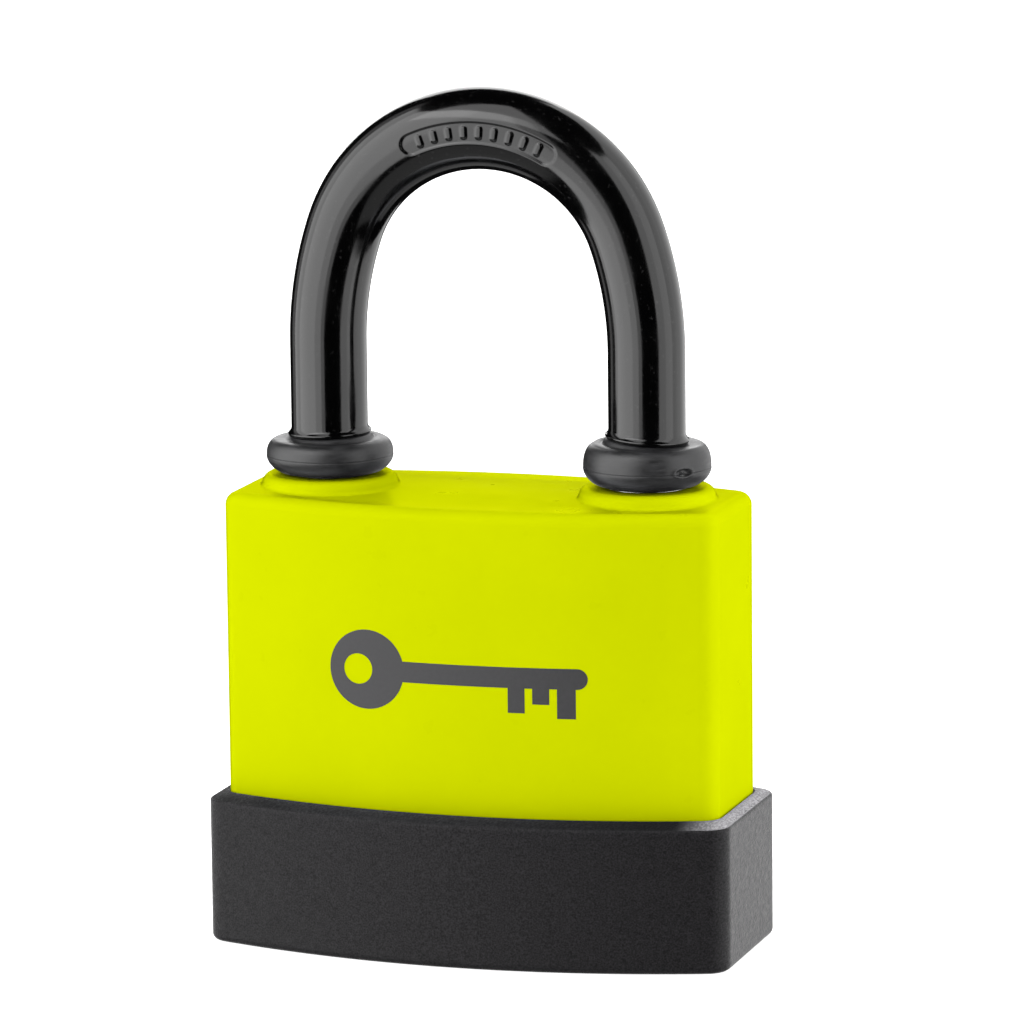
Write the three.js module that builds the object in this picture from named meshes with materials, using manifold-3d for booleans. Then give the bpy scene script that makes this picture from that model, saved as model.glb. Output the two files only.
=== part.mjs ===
// Disc padlock with a jacketed shackle, a moulded cover over a bored steel block, and a disc cylinder.
// Millimetres, +Z up, front towards -Y, origin at the centre of the base's underside.
// It stands closed with its key turned to open, so both latch balls are back and the shackle is free to lift.
import * as THREE from "three";
import { mergeVertices } from "three/addons/utils/BufferGeometryUtils.js";
import Module from "manifold-3d";

const wasm = await Module();
wasm.setup();

// ---------------------------------------------------------------- driving dimensions

// Plan outlines: straight sides, bulged front and back, eased corners.
const COVER = { width: 66.7, side: 19.1, bulge: 5.7, corner: 2.8 };
const BASE = { width: 70.6, side: 24.4, bulge: 6.3, corner: 3.3 };
const LEAST_CORNER = 0.8;

// Heights of the stack, from the floor up.
const BASE_TOP = 19.6;
const BASE_FLOOR = 4.2;
const COVER_LOW = 4.4;
const COVER_TOP = 59.3;
const COVER_WALL = 2.4;
const COVER_ROOF = 2.5;
const COVER_EDGE = 1.7;
const SEAT_GAP = 0.2;
const PLATE_TOP = 7.6;
const BLOCK_LOW = 7.8;
const BLOCK_TOP = COVER_TOP - COVER_ROOF - SEAT_GAP;
const BLOCK_INSET = COVER_WALL + SEAT_GAP;

// Shackle: a three-centred arch on two straight legs. The heel leg is at -X, the toe leg at +X.
const LEG_X = 21.6;
const BAR_R = 4.5;
const JACKET_R = 5;
const JACKET_BORE_R = 4.6;
const JACKET_LOW = 66.9;
const CROWN_Z = 106.8;
const CROWN_R = 20.24;
const CROWN_HALF_ANGLE = THREE.MathUtils.degToRad(71.3);
const BAR_SIDES = 16;
const ARCH_STEPS = 24;
const HEEL_TIP_Z = 20;
const TOE_TIP_Z = 42.8;
const SHACKLE_LIFT = 19;
const NECK_R = 3.5;
const NECK_LOW_Z = 22;
const NECK_TOP_Z = 44;
const HEEL_BORE_FLOOR = 10;
const TOE_BORE_FLOOR = 41.5;
const SPRING = { coilR: 3.5, wireR: 0.55, low: HEEL_BORE_FLOOR + 0.2, length: 9.6, turns: 6 };

// The pin across the heel bore runs in the heel leg's neck and stops its foot at full lift.
const PIN_R = 1.2;
const PIN_LENGTH = 13.4;
const PIN_X = -(LEG_X + NECK_R + PIN_R + 0.15);
const PIN_Z = NECK_LOW_Z + SHACKLE_LIFT + PIN_R + 0.3;

// Long screw down the toe side of the block: it holds the bottom plate, and the plate holds the cylinder.
const RETAINER = { shankR: 2, headR: 3.3, low: 4.6, headLow: 38.1, top: 41.2, socketR: 1.7 };

// Raised rings, collars and bore seals round the legs.
const BOSS_R = 8.9;
const BOSS_TOP = COVER_TOP + 1.7;
const BOSS_HOLE_R = 6.2;
const COLLAR_R = 8.3;
const COLLAR_LOW = BOSS_TOP + 0.15;
const COLLAR_TOP = JACKET_LOW - 0.25;
const LEG_BORE_R = 4.8;
const RING_BORE_R = 4.65;

// Latch: two balls in a cross channel, pushed out by a two-lobed cam.
const BALL_R = 5;
const BALL_Z = 49;
const BALL_REST_X = 11.95;
const BALL_TRAVEL = 2.2;
const POCKET_R = 5.25;
const CHANNEL_R = 5.15;
const CHANNEL_END_X = 18;
const CAM_LOW_R = 6.75;
const CAM_LOW_Z = 44.3;
const CAM_TOP_Z = 53.5;
const CAM_POINTS = 48;

// Cylinder: shell, plug, six discs and their springs.
const CYLINDER_BORE_R = 9.4;
const CYLINDER_BORE_TOP = 53.8;
const SHELL_R = 9.3;
const SHELL_BORE_R = 6.35;
const SHELL_LOW = 8;
const SHELL_TOP = 34;
const GROOVE_HALF = 3.7;
const GROOVE_REACH = 7.4;
const PLUG_R = 6.2;
const PLUG_HEAD_R = 4.8;
const PLUG_HEAD_LOW = 4.7;
const PLUG_SHOULDER_Z = 8.2;
const PLUG_TOP = 36;
const DISC_COUNT = 6;
const DISC_FIRST_Z = 13;
const DISC_PITCH = 3.2;
const DISC_R = 6.1;
const DISC_HALF = 3.3;
const DISC_THICK = 2;
const DISC_SLOT = 2.2;
const DISC_WINDOW_SHIFTS = [-0.4, 0.3, -0.1, 0.5, -0.5, 0.1];
const LUG = { reach: 4.6, low: -1, high: 0.5 };
const POCKET = { reach: 4.95, low: -3.6, high: 1.6 };
const DISC_SPRING = { coilR: 0.5, wireR: 0.12, length: 2.2, turns: 3, x: 4.1, y: -3.35 };
const WINDOW_HALF = { x: 1.5, y: 3 };
const KEYWAY_HALF = { x: 1.2, y: 3.5 };
const KEYWAY_TOP = 31;
const SEAL_GROOVE = { low: 5.4, high: 6.8, floorR: 4.1 };
const TANG = { halfX: 1.4, halfY: 4.5, low: 33 };
const CLIP_GROOVE_R = 5.3;
const CLIP_LOW = 34.35;
const CLIP_THICK = 0.7;
const CLIP_R = 7.5;
const DRIVER_LOW = 36.2;
const DRIVER_SHAFT_R = 5.5;

// Base: swivelling keyway cover and its rivet.
const RIVET_X = 10;
const RIVET_R = 1.25;
const RECESS_DEPTH = 2.6;
const SHUTTER_HALF = 5.6;
const SHUTTER_GAP = 0.3;
const RIVET_HEAD = { lowR: 2.3, highR: 2.2, lowTop: 0.75, highLow: 3.5, top: 4.1 };
const SHUTTER_LOW = 0.9;
const SHUTTER_THICK = 1.5;
const BASE_SCREW_X = 27;
const BASE_SCREW = { headR: 2.6, shankR: 1.4, low: 0.5, rim: 0.95, neck: 2.2, top: 7.4 };

const FINISHES = {
  cover: { color: 0xccd800, roughness: 0.35, metalness: 0 },
  base: { color: 0x2b2b2d, roughness: 0.75, metalness: 0 },
  jacket: { color: 0x0c0c0d, roughness: 0.25, metalness: 0 },
  rubber: { color: 0x1c1c1e, roughness: 0.55, metalness: 0 },
  steel: { color: 0xb4b6ba, roughness: 0.35, metalness: 1 },
  bright_steel: { color: 0xd4d6da, roughness: 0.15, metalness: 1 },
  brass: { color: 0xc8a24a, roughness: 0.35, metalness: 1 },
};

// ---------------------------------------------------------------- solids and pieces

const WELD = 1e-3;

// A closed three.js geometry as a manifold-3d solid with its faces turned outwards.
function solidFrom(geometry) {
  const bare = geometry.clone();
  bare.deleteAttribute("normal");
  bare.deleteAttribute("uv");
  const merged = mergeVertices(bare, WELD);
  const corners = merged.index.array;
  const kept = [];
  for (let i = 0; i < corners.length; i += 3) {
    const [a, b, c] = [corners[i], corners[i + 1], corners[i + 2]];
    if (a !== b && b !== c && c !== a) kept.push([a, b, c]);
  }
  const vertProperties = merged.attributes.position.array;
  const build = (faces) =>
    new wasm.Manifold(
      new wasm.Mesh({ numProp: 3, vertProperties, triVerts: new Uint32Array(faces.flat()) }),
    );
  const solid = build(kept);
  return solid.volume() < 0 ? build(kept.map(([a, b, c]) => [a, c, b])) : solid;
}

function geometryFrom(solid) {
  const mesh = solid.getMesh();
  const places = new Float32Array(mesh.numVert * 3);
  for (let i = 0; i < mesh.numVert; i++) {
    const start = i * mesh.numProp;
    places.set(mesh.vertProperties.subarray(start, start + 3), i * 3);
  }
  const geometry = new THREE.BufferGeometry();
  geometry.setAttribute("position", new THREE.BufferAttribute(places, 3));
  geometry.setIndex(new THREE.BufferAttribute(mesh.triVerts, 1));
  geometry.computeVertexNormals();
  return geometry;
}

const join = (first, ...rest) => rest.reduce((whole, solid) => whole.add(solid), first);
const cut = (first, ...rest) => rest.reduce((whole, solid) => whole.subtract(solid), first);

function addPiece(group, name, solid, finish, position = [0, 0, 0]) {
  const material = new THREE.MeshStandardMaterial(FINISHES[finish]);
  const mesh = new THREE.Mesh(geometryFrom(solid), material);
  mesh.name = name;
  mesh.position.set(...position);
  group.add(mesh);
}

// A box from its two extreme corners.
function box(low, high) {
  const size = high.map((value, axis) => value - low[axis]);
  const middle = high.map((value, axis) => (value + low[axis]) / 2);
  return solidFrom(new THREE.BoxGeometry(...size).translate(...middle));
}

// A solid of revolution about Z from [radius, height] points.
function turned(profile, sides = 24) {
  const points = profile.map(([radius, height]) => new THREE.Vector2(radius, height));
  return solidFrom(new THREE.LatheGeometry(points, sides).rotateX(Math.PI / 2));
}

function turnedRing(inner, outer, low, high, sides = 24) {
  return turned([[inner, low], [outer, low], [outer, high], [inner, high], [inner, low]], sides);
}

function uprightRod(radius, low, high, { x = 0, sides = 24 } = {}) {
  const rod = new THREE.CylinderGeometry(radius, radius, high - low, sides);
  return solidFrom(rod.rotateX(Math.PI / 2).translate(x, 0, (low + high) / 2));
}

function prism(outline, low, high, curveSegments = 8) {
  const options = { depth: high - low, bevelEnabled: false, curveSegments };
  return solidFrom(new THREE.ExtrudeGeometry(outline, options).translate(0, 0, low));
}

// A prism whose top and bottom edges are rounded off: drop down the side, inset from the outline.
function easedPrism(outline, low, high, drop, inset) {
  const options = {
    depth: high - low - 2 * drop,
    bevelThickness: drop,
    bevelSize: inset,
    bevelOffset: -inset,
    bevelSegments: 2,
    curveSegments: 8,
  };
  return solidFrom(new THREE.ExtrudeGeometry(outline, options).translate(0, 0, low + drop));
}

function circle(radius) {
  return new THREE.Shape().absarc(0, 0, radius, 0, 2 * Math.PI);
}

// A section swept along a curve. An arc in the section gets twice curveSegments sides.
function swept(section, curve, steps, curveSegments) {
  const options = { steps, extrudePath: curve, curveSegments };
  return solidFrom(new THREE.ExtrudeGeometry(section, options));
}

function bulgedOutline(plan, inset = 0) {
  const half = plan.width / 2 - inset;
  const flank = plan.side / 2 - inset;
  const corner = Math.max(plan.corner - inset, LEAST_CORNER);
  const reach = half - corner;
  const slope = (2 * plan.bulge * reach) / half ** 2;
  const faceY = flank + plan.bulge * (1 - (reach / half) ** 2);
  const peakY = faceY + slope * reach;
  const cornerY = faceY - slope * corner;
  const sideY = cornerY - corner;
  const outline = new THREE.Shape();
  outline.moveTo(half, -sideY);
  outline.lineTo(half, sideY);
  outline.quadraticCurveTo(half, cornerY, reach, faceY);
  outline.quadraticCurveTo(0, peakY, -reach, faceY);
  outline.quadraticCurveTo(-half, cornerY, -half, sideY);
  outline.lineTo(-half, -sideY);
  outline.quadraticCurveTo(-half, -cornerY, -reach, -faceY);
  outline.quadraticCurveTo(0, -peakY, reach, -faceY);
  outline.quadraticCurveTo(half, -cornerY, half, -sideY);
  return outline;
}

// ---------------------------------------------------------------- cover, block, plate, base

function bodyCover() {
  const outline = bulgedOutline(COVER);
  const bosses = [-LEG_X, LEG_X].map((x) =>
    turned(
      [
        [0, COVER_TOP - 1],
        [BOSS_R, COVER_TOP - 1],
        [BOSS_R, BOSS_TOP - 0.7],
        [BOSS_R - 0.2, BOSS_TOP - 0.25],
        [BOSS_R - 0.7, BOSS_TOP],
        [0, BOSS_TOP],
      ],
      32,
    ).translate([x, 0, 0]),
  );
  const holes = [-LEG_X, LEG_X].map((x) => uprightRod(BOSS_HOLE_R, BLOCK_TOP - 1, BOSS_TOP + 1, { x }));
  const block = easedPrism(outline, COVER_LOW - COVER_EDGE, COVER_TOP, COVER_EDGE, COVER_EDGE);
  const below = box([-50, -50, COVER_LOW - 5], [50, 50, COVER_LOW]);
  const hollow = prism(bulgedOutline(COVER, COVER_WALL), COVER_LOW - 1, COVER_TOP - COVER_ROOF);
  return cut(join(block, ...bosses), below, hollow, ...holes);
}

function lockBody() {
  const block = prism(bulgedOutline(COVER, BLOCK_INSET), BLOCK_LOW, BLOCK_TOP);
  const heelBore = uprightRod(LEG_BORE_R, HEEL_BORE_FLOOR, BLOCK_TOP + 1, { x: -LEG_X });
  const toeBore = uprightRod(LEG_BORE_R, TOE_BORE_FLOOR, BLOCK_TOP + 1, { x: LEG_X });
  const seatZ = RETAINER.headLow - SEAT_GAP;
  const screwSeat = uprightRod(RETAINER.headR + 0.2, seatZ, TOE_BORE_FLOOR + 1, { x: LEG_X });
  const screwHole = uprightRod(RETAINER.shankR + 0.3, BLOCK_LOW - 1, seatZ + 1, { x: LEG_X });
  const cylinderBore = uprightRod(CYLINDER_BORE_R, BLOCK_LOW - 1, CYLINDER_BORE_TOP, { sides: 32 });
  const channel = new THREE.CylinderGeometry(CHANNEL_R, CHANNEL_R, 2 * CHANNEL_END_X, 28);
  const ballChannel = solidFrom(channel.rotateZ(Math.PI / 2).translate(0, 0, BALL_Z));
  const pinDrill = new THREE.CylinderGeometry(PIN_R + 0.15, PIN_R + 0.15, 40, 16);
  const pinHole = solidFrom(pinDrill.translate(PIN_X, 0, PIN_Z));
  return cut(block, heelBore, toeBore, screwSeat, screwHole, cylinderBore, ballChannel, pinHole);
}

function bottomPlate() {
  const plate = prism(bulgedOutline(COVER, BLOCK_INSET), COVER_LOW, PLATE_TOP);
  const drill = (radius, x) => uprightRod(radius, COVER_LOW - 1, PLATE_TOP + 1, { x, sides: 16 });
  const plugHole = uprightRod(PLUG_HEAD_R + 0.4, COVER_LOW - 1, PLATE_TOP + 1);
  const retainingHole = drill(RETAINER.shankR + 0.1, LEG_X);
  const screwHoles = [-BASE_SCREW_X, BASE_SCREW_X].map((x) => drill(BASE_SCREW.shankR + 0.1, x));
  return cut(plate, plugHole, retainingHole, ...screwHoles);
}

// The floor space that the keyway cover sweeps between shut and fully open.
function shutterSweep() {
  const reach = SHUTTER_HALF + SHUTTER_GAP;
  const sector = new THREE.Shape();
  sector.moveTo(RIVET_X, 0);
  sector.absarc(RIVET_X, 0, RIVET_X + reach, Math.PI / 2, Math.PI, false);
  sector.lineTo(RIVET_X, 0);
  const shut = slotOutline(RIVET_X, 0, RIVET_X, reach, Math.PI);
  const open = slotOutline(RIVET_X, 0, RIVET_X, reach, Math.PI / 2);
  return join(...[sector, shut, open].map((shape) => prism(shape, -1, RECESS_DEPTH, 16)));
}

// A slot outline: two half circles of one radius, the second at the given length and angle from the first.
function slotOutline(x, y, length, radius, angle) {
  const quarter = Math.PI / 2;
  const outline = new THREE.Shape();
  outline.absarc(x, y, radius, angle + quarter, angle - quarter, false);
  const farX = x + length * Math.cos(angle);
  const farY = y + length * Math.sin(angle);
  outline.absarc(farX, farY, radius, angle - quarter, angle + quarter, false);
  return outline;
}

function baseCap() {
  const outline = bulgedOutline(BASE);
  const foot = easedPrism(outline, 0, BASE_TOP - 4, 0.6, 0.6);
  const rim = easedPrism(outline, 4, BASE_TOP, 1.2, 1.8);
  const cup = prism(bulgedOutline(COVER, -0.15), BASE_FLOOR, BASE_TOP + 1);
  const keyhole = uprightRod(PLUG_HEAD_R + 0.1, -1, BASE_FLOOR + 1);
  const rivetHole = uprightRod(RIVET_R + 0.15, 0, BASE_FLOOR + 1, { x: RIVET_X, sides: 16 });
  const rivetSeat = uprightRod(RIVET_HEAD.highR + 0.3, RIVET_HEAD.highLow - 0.1, BASE_FLOOR + 1, {
    x: RIVET_X,
    sides: 16,
  });
  const { headR, shankR, rim: rimZ, neck } = BASE_SCREW;
  const sinkProfile = [
    [0, -1], [headR + 0.2, -1], [headR + 0.2, rimZ + 0.05], [shankR + 0.15, neck + 0.1],
    [shankR + 0.15, BASE_FLOOR + 1], [0, BASE_FLOOR + 1],
  ];
  const screwSinks = [-BASE_SCREW_X, BASE_SCREW_X].map((x) =>
    turned(sinkProfile, 16).translate([x, 0, 0]),
  );
  return cut(join(foot, rim), cup, shutterSweep(), keyhole, rivetHole, rivetSeat, ...screwSinks);
}

function keywayCover() {
  const plate = slotOutline(0, 0, RIVET_X, SHUTTER_HALF, Math.PI);
  plate.holes.push(new THREE.Path().absarc(0, 0, RIVET_R + 0.15, 0, 2 * Math.PI));
  const thumbRidge = box([-12.6, -2.8, SHUTTER_LOW - 0.5], [-11.6, 2.8, SHUTTER_LOW + 0.1]);
  return join(prism(plate, SHUTTER_LOW, SHUTTER_LOW + SHUTTER_THICK), thumbRidge);
}

function keywayRivet() {
  const { lowR, highR, lowTop, highLow, top } = RIVET_HEAD;
  const profile = [
    [0, 0.2], [lowR - 0.7, 0.25], [lowR, 0.5], [lowR, lowTop], [RIVET_R, lowTop],
    [RIVET_R, highLow], [highR, highLow], [highR, top], [0, top],
  ];
  return turned(profile, 16);
}

function baseScrew() {
  const { headR, shankR, low, rim, neck, top } = BASE_SCREW;
  const screw = turned([[0, low], [headR, low], [headR, rim], [shankR, neck], [shankR, top], [0, top]], 16);
  const [long, narrow, deep] = [1.6, 0.3, low + 0.7];
  const crossSlots = [
    box([-long, -narrow, low - 1], [long, narrow, deep]),
    box([-narrow, -long, low - 1], [narrow, long, deep]),
  ];
  return cut(screw, ...crossSlots);
}

function retainingScrew() {
  const { shankR, headR, low, headLow, top, socketR } = RETAINER;
  const profile = [[0, low], [shankR, low], [shankR, headLow], [headR, headLow], [headR, top], [0, top]];
  const hexSocket = uprightRod(socketR, headLow + 1.3, top + 1, { sides: 6 });
  return cut(turned(profile, 16), hexSocket);
}

// ---------------------------------------------------------------- shackle

// The arch's centreline in the XZ plane, from the jacket's end on the heel leg to its end on the toe leg.
class ArchLine extends THREE.Curve {
  constructor() {
    super();
    const flankAngle = Math.PI / 2 - CROWN_HALF_ANGLE;
    const joinX = CROWN_R * Math.sin(CROWN_HALF_ANGLE);
    const joinZ = CROWN_Z - CROWN_R * (1 - Math.cos(CROWN_HALF_ANGLE));
    const flankR = (LEG_X - joinX) / (1 - Math.cos(flankAngle));
    const flankZ = joinZ - flankR * Math.sin(flankAngle);
    const line = new THREE.Path();
    line.moveTo(-LEG_X, JACKET_LOW);
    line.lineTo(-LEG_X, flankZ);
    line.absarc(flankR - LEG_X, flankZ, flankR, Math.PI, Math.PI - flankAngle, true);
    line.absarc(0, CROWN_Z - CROWN_R, CROWN_R, Math.PI - flankAngle, flankAngle, true);
    line.absarc(LEG_X - flankR, flankZ, flankR, flankAngle, 0, true);
    line.lineTo(LEG_X, JACKET_LOW);
    this.line = line;
  }

  getPoint(t, target = new THREE.Vector3()) {
    const { x, y } = this.line.getPoint(t);
    return target.set(x, 0, y);
  }
}

function shackleBar() {
  const arch = swept(circle(BAR_R), new ArchLine(), ARCH_STEPS, BAR_SIDES / 2);
  const spliceR = BAR_R - 0.02;
  const spliceZ = JACKET_LOW + 0.1;
  const heelLeg = turned(
    [
      [0, HEEL_TIP_Z],
      [BAR_R - 0.6, HEEL_TIP_Z],
      [BAR_R, HEEL_TIP_Z + 0.6],
      [BAR_R, NECK_LOW_Z],
      [NECK_R, NECK_LOW_Z],
      [NECK_R, NECK_TOP_Z],
      [BAR_R, NECK_TOP_Z + 0.5],
      [BAR_R, JACKET_LOW],
      [spliceR, spliceZ],
      [0, spliceZ],
    ],
    BAR_SIDES,
  ).translate([-LEG_X, 0, 0]);
  const toeLeg = turned(
    [
      [0, TOE_TIP_Z],
      [BAR_R - 1, TOE_TIP_Z],
      [BAR_R, TOE_TIP_Z + 1],
      [BAR_R, JACKET_LOW],
      [spliceR, spliceZ],
      [0, spliceZ],
    ],
    BAR_SIDES,
  ).translate([LEG_X, 0, 0]);
  const pocketX = BALL_REST_X + BALL_TRAVEL;
  const pocket = (x, z) => solidFrom(new THREE.SphereGeometry(POCKET_R, 20, 12).translate(x, 0, z));
  return cut(
    join(arch, heelLeg, toeLeg),
    pocket(-pocketX, BALL_Z),
    pocket(-pocketX, BALL_Z - SHACKLE_LIFT),
    pocket(pocketX, BALL_Z),
  );
}

function shackleJacket() {
  const section = circle(JACKET_R);
  section.holes.push(new THREE.Path().absarc(0, 0, JACKET_BORE_R, 0, 2 * Math.PI));
  return swept(section, new ArchLine(), ARCH_STEPS, BAR_SIDES / 2);
}

function collar() {
  const waist = (COLLAR_LOW + COLLAR_TOP) / 2 - 0.6;
  return turned([
    [RING_BORE_R, COLLAR_LOW],
    [COLLAR_R - 1.7, COLLAR_LOW],
    [COLLAR_R - 0.4, waist - 1.2],
    [COLLAR_R, waist],
    [COLLAR_R - 0.1, waist + 1.6],
    [COLLAR_R - 0.8, waist + 2.7],
    [RING_BORE_R + 0.8, COLLAR_TOP],
    [RING_BORE_R, COLLAR_TOP],
    [RING_BORE_R, COLLAR_LOW],
  ]);
}

class Helix extends THREE.Curve {
  constructor(radius, height, turns) {
    super();
    Object.assign(this, { radius, height, turns });
  }

  getPoint(t, target = new THREE.Vector3()) {
    const angle = 2 * Math.PI * this.turns * t;
    return target.set(this.radius * Math.cos(angle), this.radius * Math.sin(angle), this.height * t);
  }
}

function coilSpring({ coilR, wireR, length, turns }, stepsPerTurn, wireSegments) {
  const helix = new Helix(coilR, length - 2 * wireR, turns);
  const coil = swept(circle(wireR), helix, turns * stepsPerTurn, wireSegments);
  return coil.translate([0, 0, wireR]);
}

// ---------------------------------------------------------------- cylinder and latch

function cylinderShell() {
  const sleeve = turnedRing(SHELL_BORE_R, SHELL_R, SHELL_LOW, SHELL_TOP, 32);
  const low = DISC_FIRST_Z - DISC_SLOT;
  const high = DISC_FIRST_Z + DISC_PITCH * (DISC_COUNT - 1) + DISC_SLOT;
  const grooves = [
    box([-GROOVE_HALF, -GROOVE_REACH, low], [GROOVE_HALF, GROOVE_REACH, high]),
    box([-GROOVE_REACH, -GROOVE_HALF, low], [GROOVE_REACH, GROOVE_HALF, high]),
  ];
  return cut(sleeve, ...grooves);
}

// The key's slot, with one ridge that runs in the groove along the blade.
function keywayOutline() {
  const { x, y } = KEYWAY_HALF;
  const outline = new THREE.Shape();
  outline.moveTo(x, -y);
  outline.lineTo(x, y);
  outline.lineTo(-x, y);
  outline.lineTo(-x, 1.6);
  outline.lineTo(-0.5, 1.3);
  outline.lineTo(-0.5, 0.7);
  outline.lineTo(-x, 0.4);
  outline.lineTo(-x, -y);
  return outline;
}

const discHeights = Array.from({ length: DISC_COUNT }, (_, i) => DISC_FIRST_Z + DISC_PITCH * i);

function plug() {
  const clipGrooveLow = CLIP_LOW - 0.1;
  const clipGrooveTop = CLIP_LOW + CLIP_THICK + 0.1;
  const body = turned(
    [
      [0, PLUG_HEAD_LOW], [PLUG_HEAD_R, PLUG_HEAD_LOW],
      [PLUG_HEAD_R, SEAL_GROOVE.low], [SEAL_GROOVE.floorR, SEAL_GROOVE.low],
      [SEAL_GROOVE.floorR, SEAL_GROOVE.high], [PLUG_HEAD_R, SEAL_GROOVE.high],
      [PLUG_HEAD_R, PLUG_SHOULDER_Z], [PLUG_R, PLUG_SHOULDER_Z],
      [PLUG_R, clipGrooveLow], [CLIP_GROOVE_R, clipGrooveLow],
      [CLIP_GROOVE_R, clipGrooveTop], [PLUG_R, clipGrooveTop],
      [PLUG_R, PLUG_TOP], [0, PLUG_TOP],
    ],
    32,
  );
  const past = PLUG_R + 1;
  const keyway = prism(keywayOutline(), PLUG_HEAD_LOW - 1, KEYWAY_TOP);
  const slotHalf = DISC_HALF + 0.15;
  const slots = discHeights.flatMap((z) => {
    const [low, high] = [z - DISC_SLOT / 2, z + DISC_SLOT / 2];
    return [
      box([-slotHalf, -past, low], [slotHalf, past, high]),
      box([DISC_HALF, POCKET.low, low], [POCKET.reach, POCKET.high, high]),
    ];
  });
  const tangHalf = TANG.halfX + 0.2;
  const tangSlot = box([-tangHalf, -past, TANG.low - 0.2], [tangHalf, past, PLUG_TOP + 1]);
  return cut(body, keyway, ...slots, tangSlot);
}

// A disc tumbler: round ends, a window for the key, and a side lug for its spring.
function disc(windowShift) {
  const endY = Math.sqrt(DISC_R ** 2 - DISC_HALF ** 2);
  const endAngle = Math.atan2(endY, DISC_HALF);
  const outline = new THREE.Shape();
  outline.moveTo(DISC_HALF, -endY);
  outline.lineTo(DISC_HALF, LUG.low);
  outline.lineTo(LUG.reach, LUG.low);
  outline.lineTo(LUG.reach, LUG.high);
  outline.lineTo(DISC_HALF, LUG.high);
  outline.lineTo(DISC_HALF, endY);
  outline.absarc(0, 0, DISC_R, endAngle, Math.PI - endAngle, false);
  outline.lineTo(-DISC_HALF, -endY);
  outline.absarc(0, 0, DISC_R, Math.PI + endAngle, 2 * Math.PI - endAngle, false);
  const { x, y } = WINDOW_HALF;
  const window = new THREE.Path();
  window.moveTo(-x, windowShift - y);
  window.lineTo(x, windowShift - y);
  window.lineTo(x, windowShift + y);
  window.lineTo(-x, windowShift + y);
  window.lineTo(-x, windowShift - y);
  outline.holes.push(window);
  return prism(outline, -DISC_THICK / 2, DISC_THICK / 2, 4);
}

// An open snap ring for the plug's rear groove.
function plugClip() {
  const ring = turnedRing(CLIP_GROOVE_R + 0.1, CLIP_R, CLIP_LOW, CLIP_LOW + CLIP_THICK);
  return cut(ring, box([-2, 3, CLIP_LOW - 1], [2, CLIP_R + 1, CLIP_LOW + CLIP_THICK + 1]));
}

function plugSeal() {
  const middleZ = (SEAL_GROOVE.low + SEAL_GROOVE.high) / 2;
  return solidFrom(new THREE.TorusGeometry(4.62, 0.45, 6, 24).translate(0, 0, middleZ));
}

function driverBush() {
  const shaftBore = DRIVER_SHAFT_R + 0.25;
  const clipBore = CLIP_R + 0.4;
  const low = SHELL_TOP + SEAT_GAP;
  const top = CAM_LOW_Z - 0.3;
  const stepZ = PLUG_TOP + 0.5;
  return turned([
    [clipBore, low], [SHELL_R, low], [SHELL_R, top], [shaftBore, top],
    [shaftBore, stepZ], [clipBore, stepZ], [clipBore, low],
  ]);
}

// The cam rises evenly with angle, so a ball's travel is proportional to the plug's turn.
function camOutline() {
  const outline = new THREE.Shape();
  for (let i = 0; i < CAM_POINTS; i++) {
    const angle = (2 * Math.PI * i) / CAM_POINTS;
    const fromHeel = angle % Math.PI;
    const rise = Math.min(fromHeel, Math.PI - fromHeel) / (Math.PI / 2);
    const radius = CAM_LOW_R + BALL_TRAVEL * rise;
    const place = [radius * Math.cos(angle), radius * Math.sin(angle)];
    if (i === 0) outline.moveTo(...place);
    else outline.lineTo(...place);
  }
  return outline;
}

function driverCam() {
  const cam = prism(camOutline(), CAM_LOW_Z, CAM_TOP_Z);
  const shaft = uprightRod(DRIVER_SHAFT_R, DRIVER_LOW, CAM_LOW_Z + 0.2);
  const { halfX, halfY, low } = TANG;
  const tang = box([-halfX, -halfY, low], [halfX, halfY, DRIVER_LOW + 0.2]);
  return join(cam, shaft, tang);
}

function latchBall() {
  return solidFrom(new THREE.SphereGeometry(BALL_R, 20, 12));
}

function heelRetainingPin() {
  return solidFrom(new THREE.CylinderGeometry(PIN_R, PIN_R, PIN_LENGTH, 16));
}

// ---------------------------------------------------------------- the assembly

const padlock = new THREE.Group();

const lockCase = new THREE.Group();
padlock.add(lockCase);
addPiece(lockCase, "body_cover", bodyCover(), "cover");
addPiece(lockCase, "base_cap", baseCap(), "base");
addPiece(lockCase, "lock_body", lockBody(), "steel");
addPiece(lockCase, "bottom_plate", bottomPlate(), "steel");
addPiece(lockCase, "cylinder_shell", cylinderShell(), "brass");
addPiece(lockCase, "driver_bush", driverBush(), "brass");
addPiece(lockCase, "retaining_screw", retainingScrew(), "steel", [LEG_X, 0, 0]);
addPiece(lockCase, "heel_retaining_pin", heelRetainingPin(), "steel", [PIN_X, 0, PIN_Z]);
addPiece(lockCase, "keyway_rivet", keywayRivet(), "steel", [RIVET_X, 0, 0]);
addPiece(lockCase, "shackle_spring", coilSpring(SPRING, 12, 3), "steel", [-LEG_X, 0, SPRING.low]);
for (const [name, x] of [["heel", -LEG_X], ["toe", LEG_X]]) {
  const seal = turnedRing(RING_BORE_R, BOSS_HOLE_R - 0.15, BLOCK_TOP + SEAT_GAP, BOSS_TOP - 0.4);
  addPiece(lockCase, `${name}_bore_seal`, seal, "rubber", [x, 0, 0]);
}
for (const [side, x] of [["left", -BASE_SCREW_X], ["right", BASE_SCREW_X]]) {
  addPiece(lockCase, `base_screw_${side}`, baseScrew(), "steel", [x, 0, 0]);
}

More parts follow.
